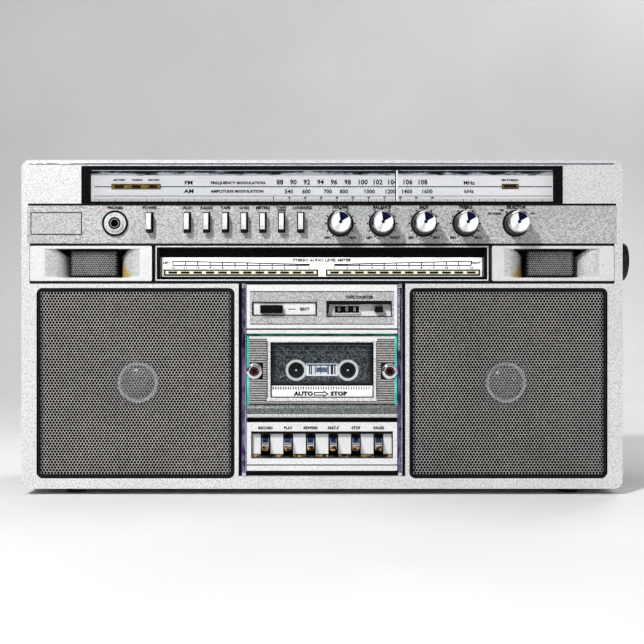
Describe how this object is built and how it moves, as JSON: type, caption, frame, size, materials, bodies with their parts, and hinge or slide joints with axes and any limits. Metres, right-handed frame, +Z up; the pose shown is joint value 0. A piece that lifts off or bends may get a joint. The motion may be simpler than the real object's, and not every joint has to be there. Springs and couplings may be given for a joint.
{
  "type": "stereo radio cassette recorder",
  "caption": "Wide silver stereo radio cassette recorder with a tuner dial, a knob and key row, a level meter, two tweeters, two woofers and a centre tape deck.",
  "frame": {"origin": "on the floor under the middle of the case, at the centre of the overall bounding box", "axes": "+X to the right seen from the front, -Y out of the front face, +Z up"},
  "size_m": [0.51, 0.148, 0.284],
  "materials": {
    "silver_case": "fine metallic silver paint with a speckle",
    "dark_case": "dark grey textured plastic",
    "black_trim": "gloss black",
    "black_matte": "matt black",
    "scale_print": "silver white printed plate",
    "clear_window": "clear polished acrylic",
    "smoked_window": "smoked polished acrylic",
    "pointer_red": "red",
    "amber_led": "amber diffuser",
    "brushed_panel": "brushed",
    "spun_knob": "spun face, polished edge",
    "bright_chrome": "mirror chrome",
    "satin_chrome": "satin chrome",
    "key_cap": "silver paint",
    "speaker_mesh": "silver lacquered perforated steel",
    "speaker_cone": "black paper and rubber",
    "cassette_plastic": "dark speckled plastic",
    "reel_white": "white",
    "steel": "bare steel",
    "battery_wrap": "printed sleeve",
    "board_green": "soldered board",
    "foot_rubber": "matt"
  },
  "bodies": {
    "chassis": {"front_cabinet": "silver_case", "rear_cabinet": "dark_case", "dial_bezel": "black_trim", "scale_plates": "scale_print", "dial_window": "clear_window", "indicator_leds": "amber_led", "control_panel": "brushed_panel", "phones_jack": "bright_chrome", "meter_bezel": "black_trim", "tweeter_horns": "silver_case", "speaker_grilles": "speaker_mesh", "speaker_drivers": "speaker_cone", "deck_rails": "satin_chrome", "deck_top_panel": "silver_case", "key_panel": "silver_case", "tape_mechanism": "steel", "batteries": "battery_wrap", "circuit_boards": "board_green", "rear_sockets": "black_matte", "rubber_feet": "foot_rubber", "screws": "steel"},
    "tuning_knob": {"tuning_knob": "spun_knob"},
    "dial_pointer": {"dial_pointer": "pointer_red"},
    "power_key": {"power_key": "key_cap"},
    "aux_key": {"aux_key": "key_cap"},
    "radio_key": {"radio_key": "key_cap"},
    "tape_key": {"tape_key": "key_cap"},
    "chrome_tape_key": {"chrome_tape_key": "key_cap"},
    "meters_key": {"meters_key": "key_cap"},
    "stereo_wide_key": {"stereo_wide_key": "key_cap"},
    "loudness_key": {"loudness_key": "key_cap"},
    "volume_knob": {"volume_knob": "spun_knob"},
    "balance_knob": {"balance_knob": "spun_knob"},
    "bass_knob": {"bass_knob": "spun_knob"},
    "treble_knob": {"treble_knob": "spun_knob"},
    "selector_knob": {"selector_knob": "spun_knob"},
    "eject_button": {"eject_button": "black_trim"},
    "counter_reset_button": {"counter_reset_button": "black_trim"},
    "record_key": {"record_key": "satin_chrome"},
    "play_key": {"play_key": "satin_chrome"},
    "rewind_key": {"rewind_key": "satin_chrome"},
    "fast_forward_key": {"fast_forward_key": "satin_chrome"},
    "stop_key": {"stop_key": "satin_chrome"},
    "pause_key": {"pause_key": "satin_chrome"},
    "head_carriage": {"head_carriage": "steel"},
    "cassette_door": {"cassette_door": "silver_case", "door_window": "smoked_window", "cassette_shell": "cassette_plastic"},
    "capstan_flywheel": {"capstan_flywheel": "steel"},
    "supply_spindle": {"supply_spindle": "reel_white"},
    "takeup_spindle": {"takeup_spindle": "reel_white"},
    "supply_reel": {"supply_reel": "reel_white"},
    "takeup_reel": {"takeup_reel": "reel_white"},
    "counter_units_wheel": {"counter_units_wheel": "black_matte"},
    "counter_slow_wheels": {"counter_slow_wheels": "black_matte"},
    "handle": {"handle": "dark_case"},
    "antenna_mount": {"antenna_mount": "bright_chrome"},
    "antenna_tube": {"antenna_tube": "bright_chrome"},
    "antenna_rod": {"antenna_rod": "bright_chrome"},
    "battery_door": {"battery_door": "dark_case"}
  },
  "joints": [
    {"name": "tuning_turn", "type": "hinge", "parent": "chassis", "child": "tuning_knob", "pos_m": [0.245, -0.032, 0.192], "axis": [1, 0, 0], "range_deg": [-1870, 455]},
    {"name": "pointer_slide", "type": "slide", "parent": "chassis", "child": "dial_pointer", "axis": [1, 0, 0], "range_m": [-0.098, 0.024]},
    {"name": "power_push", "type": "slide", "parent": "chassis", "child": "power_key", "axis": [0, 1, 0], "range_m": [0, 0.0035]},
    {"name": "aux_push", "type": "slide", "parent": "chassis", "child": "aux_key", "axis": [0, 1, 0], "range_m": [0, 0.0035]},
    {"name": "radio_push", "type": "slide", "parent": "chassis", "child": "radio_key", "axis": [0, 1, 0], "range_m": [0, 0.0035]},
    {"name": "tape_push", "type": "slide", "parent": "chassis", "child": "tape_key", "axis": [0, 1, 0], "range_m": [0, 0.0035]},
    {"name": "chrome_tape_push", "type": "slide", "parent": "chassis", "child": "chrome_tape_key", "axis": [0, 1, 0], "range_m": [0, 0.0035]},
    {"name": "meters_push", "type": "slide", "parent": "chassis", "child": "meters_key", "axis": [0, 1, 0], "range_m": [0, 0.0035]},
    {"name": "stereo_wide_push", "type": "slide", "parent": "chassis", "child": "stereo_wide_key", "axis": [0, 1, 0], "range_m": [0, 0.0035]},
    {"name": "loudness_push", "type": "slide", "parent": "chassis", "child": "loudness_key", "axis": [0, 1, 0], "range_m": [0, 0.0035]},
    {"name": "volume_turn", "type": "hinge", "parent": "chassis", "child": "volume_knob", "pos_m": [0.0149, -0.06, 0.2213], "axis": [0, -1, 0], "range_deg": [-150, 150]},
    {"name": "balance_turn", "type": "hinge", "parent": "chassis", "child": "balance_knob", "pos_m": [0.049, -0.06, 0.2213], "axis": [0, -1, 0], "range_deg": [-140, 140]},
    {"name": "bass_turn", "type": "hinge", "parent": "chassis", "child": "bass_knob", "pos_m": [0.0831, -0.06, 0.2213], "axis": [0, -1, 0], "range_deg": [-140, 140]},
    {"name": "treble_turn", "type": "hinge", "parent": "chassis", "child": "treble_knob", "pos_m": [0.117, -0.06, 0.2213], "axis": [0, -1, 0], "range_deg": [-140, 140]},
    {"name": "selector_turn", "type": "hinge", "parent": "chassis", "child": "selector_knob", "pos_m": [0.158, -0.06, 0.2213], "axis": [0, -1, 0], "range_deg": [-35, 35]},
    {"name": "eject_push", "type": "slide", "parent": "chassis", "child": "eject_button", "axis": [0, 1, 0], "range_m": [0, 0.0025]},
    {"name": "counter_reset_push", "type": "slide", "parent": "chassis", "child": "counter_reset_button", "axis": [0, 1, 0], "range_m": [0, 0.0015]},
    {"name": "record_press", "type": "hinge", "parent": "chassis", "child": "record_key", "pos_m": [-0.04612, -0.016, 0.04], "axis": [1, 0, 0], "range_deg": [0, 8]},
    {"name": "play_press", "type": "hinge", "parent": "chassis", "child": "play_key", "pos_m": [-0.02768, -0.016, 0.04], "axis": [1, 0, 0], "range_deg": [0, 8]},
    {"name": "rewind_press", "type": "hinge", "parent": "chassis", "child": "rewind_key", "pos_m": [-0.00923, -0.016, 0.04], "axis": [1, 0, 0], "range_deg": [0, 8]},
    {"name": "fast_forward_press", "type": "hinge", "parent": "chassis", "child": "fast_forward_key", "pos_m": [0.00923, -0.016, 0.04], "axis": [1, 0, 0], "range_deg": [0, 8]},
    {"name": "stop_press", "type": "hinge", "parent": "chassis", "child": "stop_key", "pos_m": [0.02768, -0.016, 0.04], "axis": [1, 0, 0], "range_deg": [0, 8]},
    {"name": "pause_press", "type": "hinge", "parent": "chassis", "child": "pause_key", "pos_m": [0.04612, -0.016, 0.04], "axis": [1, 0, 0], "range_deg": [0, 8]},
    {"name": "head_carriage_lift", "type": "slide", "parent": "chassis", "child": "head_carriage", "axis": [0, 0, 1], "range_m": [0, 0.006]},
    {"name": "door_hinge", "type": "hinge", "parent": "chassis", "child": "cassette_door", "pos_m": [0, -0.051, 0.0665], "axis": [1, 0, 0], "range_deg": [0, 35]},
    {"name": "capstan_spin", "type": "hinge", "parent": "chassis", "child": "capstan_flywheel", "pos_m": [0.024, -0.04, 0.0732], "axis": [0, -1, 0], "continuous": true},
    {"name": "supply_spindle_spin", "type": "hinge", "parent": "chassis", "child": "supply_spindle", "pos_m": [-0.02125, -0.046, 0.1013], "axis": [0, -1, 0], "continuous": true},
    {"name": "takeup_spindle_spin", "type": "hinge", "parent": "chassis", "child": "takeup_spindle", "pos_m": [0.02125, -0.046, 0.1013], "axis": [0, -1, 0], "continuous": true},
    {"name": "supply_reel_spin", "type": "hinge", "parent": "cassette_door", "child": "supply_reel", "pos_m": [-0.02125, -0.046, 0.1013], "axis": [0, -1, 0], "continuous": true},
    {"name": "takeup_reel_spin", "type": "hinge", "parent": "cassette_door", "child": "takeup_reel", "pos_m": [0.02125, -0.046, 0.1013], "axis": [0, -1, 0], "continuous": true},
    {"name": "counter_units_spin", "type": "hinge", "parent": "chassis", "child": "counter_units_wheel", "pos_m": [0.0268, -0.0432, 0.1513], "axis": [1, 0, 0], "continuous": true},
    {"name": "counter_slow_spin", "type": "hinge", "parent": "chassis", "child": "counter_slow_wheels", "pos_m": [0.017, -0.0432, 0.1513], "axis": [1, 0, 0], "continuous": true},
    {"name": "handle_swing", "type": "hinge", "parent": "chassis", "child": "handle", "pos_m": [0, -0.02, 0.24], "axis": [1, 0, 0], "range_deg": [0, 98]},
    {"name": "antenna_swivel", "type": "hinge", "parent": "chassis", "child": "antenna_mount", "pos_m": [0.215, 0.028, 0.274], "axis": [0, 0, 1], "range_deg": [-180, 180]},
    {"name": "antenna_tilt", "type": "hinge", "parent": "antenna_mount", "child": "antenna_tube", "pos_m": [0.215, 0.028, 0.28], "axis": [0, 1, 0], "range_deg": [0, 90]},
    {"name": "antenna_extend", "type": "slide", "parent": "antenna_tube", "child": "antenna_rod", "axis": [-1, 0, 0], "range_m": [0, 0.14]},
    {"name": "battery_door_hinge", "type": "hinge", "parent": "chassis", "child": "battery_door", "pos_m": [0, 0.0725, 0.0169], "axis": [1, 0, 0], "range_deg": [-95, 0]}
  ],
  "couplings": [
    {"joint": "pointer_slide", "follows": "tuning_turn", "m_per_rad": 0.002992},
    {"joint": "play_press", "follows": "head_carriage_lift", "rad_per_m": 23.2},
    {"joint": "supply_spindle_spin", "follows": "capstan_spin", "ratio": 0.06},
    {"joint": "takeup_spindle_spin", "follows": "capstan_spin", "ratio": 0.06},
    {"joint": "supply_reel_spin", "follows": "capstan_spin", "ratio": 0.06},
    {"joint": "takeup_reel_spin", "follows": "capstan_spin", "ratio": 0.06},
    {"joint": "counter_units_spin", "follows": "capstan_spin", "ratio": 0.02},
    {"joint": "counter_slow_spin", "follows": "capstan_spin", "ratio": 0.002}
  ]
}
